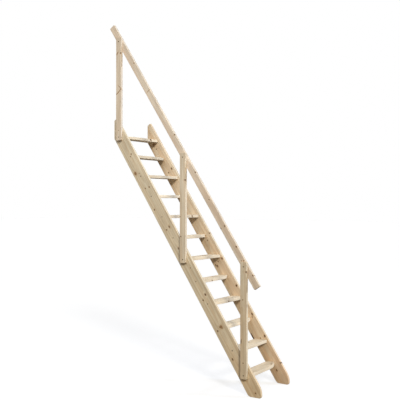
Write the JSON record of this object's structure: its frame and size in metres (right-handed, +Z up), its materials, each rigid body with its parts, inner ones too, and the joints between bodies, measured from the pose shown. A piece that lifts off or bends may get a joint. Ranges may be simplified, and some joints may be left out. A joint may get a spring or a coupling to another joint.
{
  "type": "ship ladder",
  "caption": "Pine ship ladder with alternating paddle treads on pivot bolts between sloping side boards, and a handrail on plumb posts along the left side.",
  "frame": {"origin": "middle of the level cut under the left side board, at floor level", "axes": "+X to the climber's right, +Y the way the ladder climbs, +Z up"},
  "size_m": [0.6455, 1.8896, 3.8078],
  "materials": {
    "board_pine": "smooth planed pine, clear satin lacquer",
    "tread_pine": "smooth planed pine, clear satin lacquer",
    "rail_pine": "smooth planed pine, clear satin lacquer",
    "bolt_steel": "dull zinc plate"
  },
  "bodies": {
    "lowest_tread": {"tread_01": "tread_pine", "tread_01_bolts": "bolt_steel"},
    "stringers": {"left_stringer": "board_pine", "right_stringer": "board_pine"},
    "tread_02": {"tread_02": "tread_pine", "tread_02_bolts": "bolt_steel"},
    "tread_03": {"tread_03": "tread_pine", "tread_03_bolts": "bolt_steel"},
    "tread_04": {"tread_04": "tread_pine", "tread_04_bolts": "bolt_steel"},
    "tread_05": {"tread_05": "tread_pine", "tread_05_bolts": "bolt_steel"},
    "tread_06": {"tread_06": "tread_pine", "tread_06_bolts": "bolt_steel"},
    "tread_07": {"tread_07": "tread_pine", "tread_07_bolts": "bolt_steel"},
    "tread_08": {"tread_08": "tread_pine", "tread_08_bolts": "bolt_steel"},
    "tread_09": {"tread_09": "tread_pine", "tread_09_bolts": "bolt_steel"},
    "tread_10": {"tread_10": "tread_pine", "tread_10_bolts": "bolt_steel"},
    "tread_11": {"tread_11": "tread_pine", "tread_11_bolts": "bolt_steel"},
    "tread_12": {"tread_12": "tread_pine", "tread_12_bolts": "bolt_steel"},
    "bottom_post": {"bottom_post": "rail_pine"},
    "middle_post": {"middle_post": "rail_pine"},
    "top_post": {"top_post": "rail_pine"},
    "handrail": {"handrail": "rail_pine", "rail_bolts": "bolt_steel"}
  },
  "joints": [
    {"name": "pitch", "type": "hinge", "parent": "lowest_tread", "child": "stringers", "pos_m": [0.2925, 0.11144, 0.2], "axis": [1, 0, 0], "range_deg": [0, 18.5]},
    {"name": "tread_02_level", "type": "hinge", "parent": "stringers", "child": "tread_02", "pos_m": [0.2925, 0.25374, 0.415], "axis": [1, 0, 0], "range_deg": [-18.5, 0]},
    {"name": "tread_03_level", "type": "hinge", "parent": "stringers", "child": "tread_03", "pos_m": [0.2925, 0.39605, 0.63], "axis": [1, 0, 0], "range_deg": [-18.5, 0]},
    {"name": "tread_04_level", "type": "hinge", "parent": "stringers", "child": "tread_04", "pos_m": [0.2925, 0.53836, 0.845], "axis": [1, 0, 0], "range_deg": [-18.5, 0]},
    {"name": "tread_05_level", "type": "hinge", "parent": "stringers", "child": "tread_05", "pos_m": [0.2925, 0.68066, 1.06], "axis": [1, 0, 0], "range_deg": [-18.5, 0]},
    {"name": "tread_06_level", "type": "hinge", "parent": "stringers", "child": "tread_06", "pos_m": [0.2925, 0.82297, 1.275], "axis": [1, 0, 0], "range_deg": [-18.5, 0]},
    {"name": "tread_07_level", "type": "hinge", "parent": "stringers", "child": "tread_07", "pos_m": [0.2925, 0.96527, 1.49], "axis": [1, 0, 0], "range_deg": [-18.5, 0]},
    {"name": "tread_08_level", "type": "hinge", "parent": "stringers", "child": "tread_08", "pos_m": [0.2925, 1.10758, 1.705], "axis": [1, 0, 0], "range_deg": [-18.5, 0]},
    {"name": "tread_09_level", "type": "hinge", "parent": "stringers", "child": "tread_09", "pos_m": [0.2925, 1.24988, 1.92], "axis": [1, 0, 0], "range_deg": [-18.5, 0]},
    {"name": "tread_10_level", "type": "hinge", "parent": "stringers", "child": "tread_10", "pos_m": [0.2925, 1.39219, 2.135], "axis": [1, 0, 0], "range_deg": [-18.5, 0]},
    {"name": "tread_11_level", "type": "hinge", "parent": "stringers", "child": "tread_11", "pos_m": [0.2925, 1.53449, 2.35], "axis": [1, 0, 0], "range_deg": [-18.5, 0]},
    {"name": "tread_12_level", "type": "hinge", "parent": "stringers", "child": "tread_12", "pos_m": [0.2925, 1.6768, 2.565], "axis": [1, 0, 0], "range_deg": [-18.5, 0]},
    {"name": "bottom_post_plumb", "type": "hinge", "parent": "stringers", "child": "bottom_post", "pos_m": [-0.0305, 0.11144, 0.2], "axis": [1, 0, 0], "range_deg": [-18.5, 0]},
    {"name": "middle_post_plumb", "type": "hinge", "parent": "stringers", "child": "middle_post", "pos_m": [-0.0305, 0.82297, 1.275], "axis": [1, 0, 0], "range_deg": [-18.5, 0]},
    {"name": "top_post_plumb", "type": "hinge", "parent": "stringers", "child": "top_post", "pos_m": [-0.0305, 1.6768, 2.565], "axis": [1, 0, 0], "range_deg": [-18.5, 0]},
    {"name": "handrail_pitch", "type": "hinge", "parent": "middle_post", "child": "handrail", "pos_m": [0, 0.82297, 2.315], "axis": [1, 0, 0], "range_deg": [0, 18.5]}
  ],
  "couplings": [
    {"joint": "tread_02_level", "follows": "pitch", "ratio": -1},
    {"joint": "tread_03_level", "follows": "pitch", "ratio": -1},
    {"joint": "tread_04_level", "follows": "pitch", "ratio": -1},
    {"joint": "tread_05_level", "follows": "pitch", "ratio": -1},
    {"joint": "tread_06_level", "follows": "pitch", "ratio": -1},
    {"joint": "tread_07_level", "follows": "pitch", "ratio": -1},
    {"joint": "tread_08_level", "follows": "pitch", "ratio": -1},
    {"joint": "tread_09_level", "follows": "pitch", "ratio": -1},
    {"joint": "tread_10_level", "follows": "pitch", "ratio": -1},
    {"joint": "tread_11_level", "follows": "pitch", "ratio": -1},
    {"joint": "tread_12_level", "follows": "pitch", "ratio": -1},
    {"joint": "bottom_post_plumb", "follows": "pitch", "ratio": -1},
    {"joint": "middle_post_plumb", "follows": "pitch", "ratio": -1},
    {"joint": "top_post_plumb", "follows": "pitch", "ratio": -1},
    {"joint": "handrail_pitch", "follows": "pitch", "ratio": 1}
  ]
}
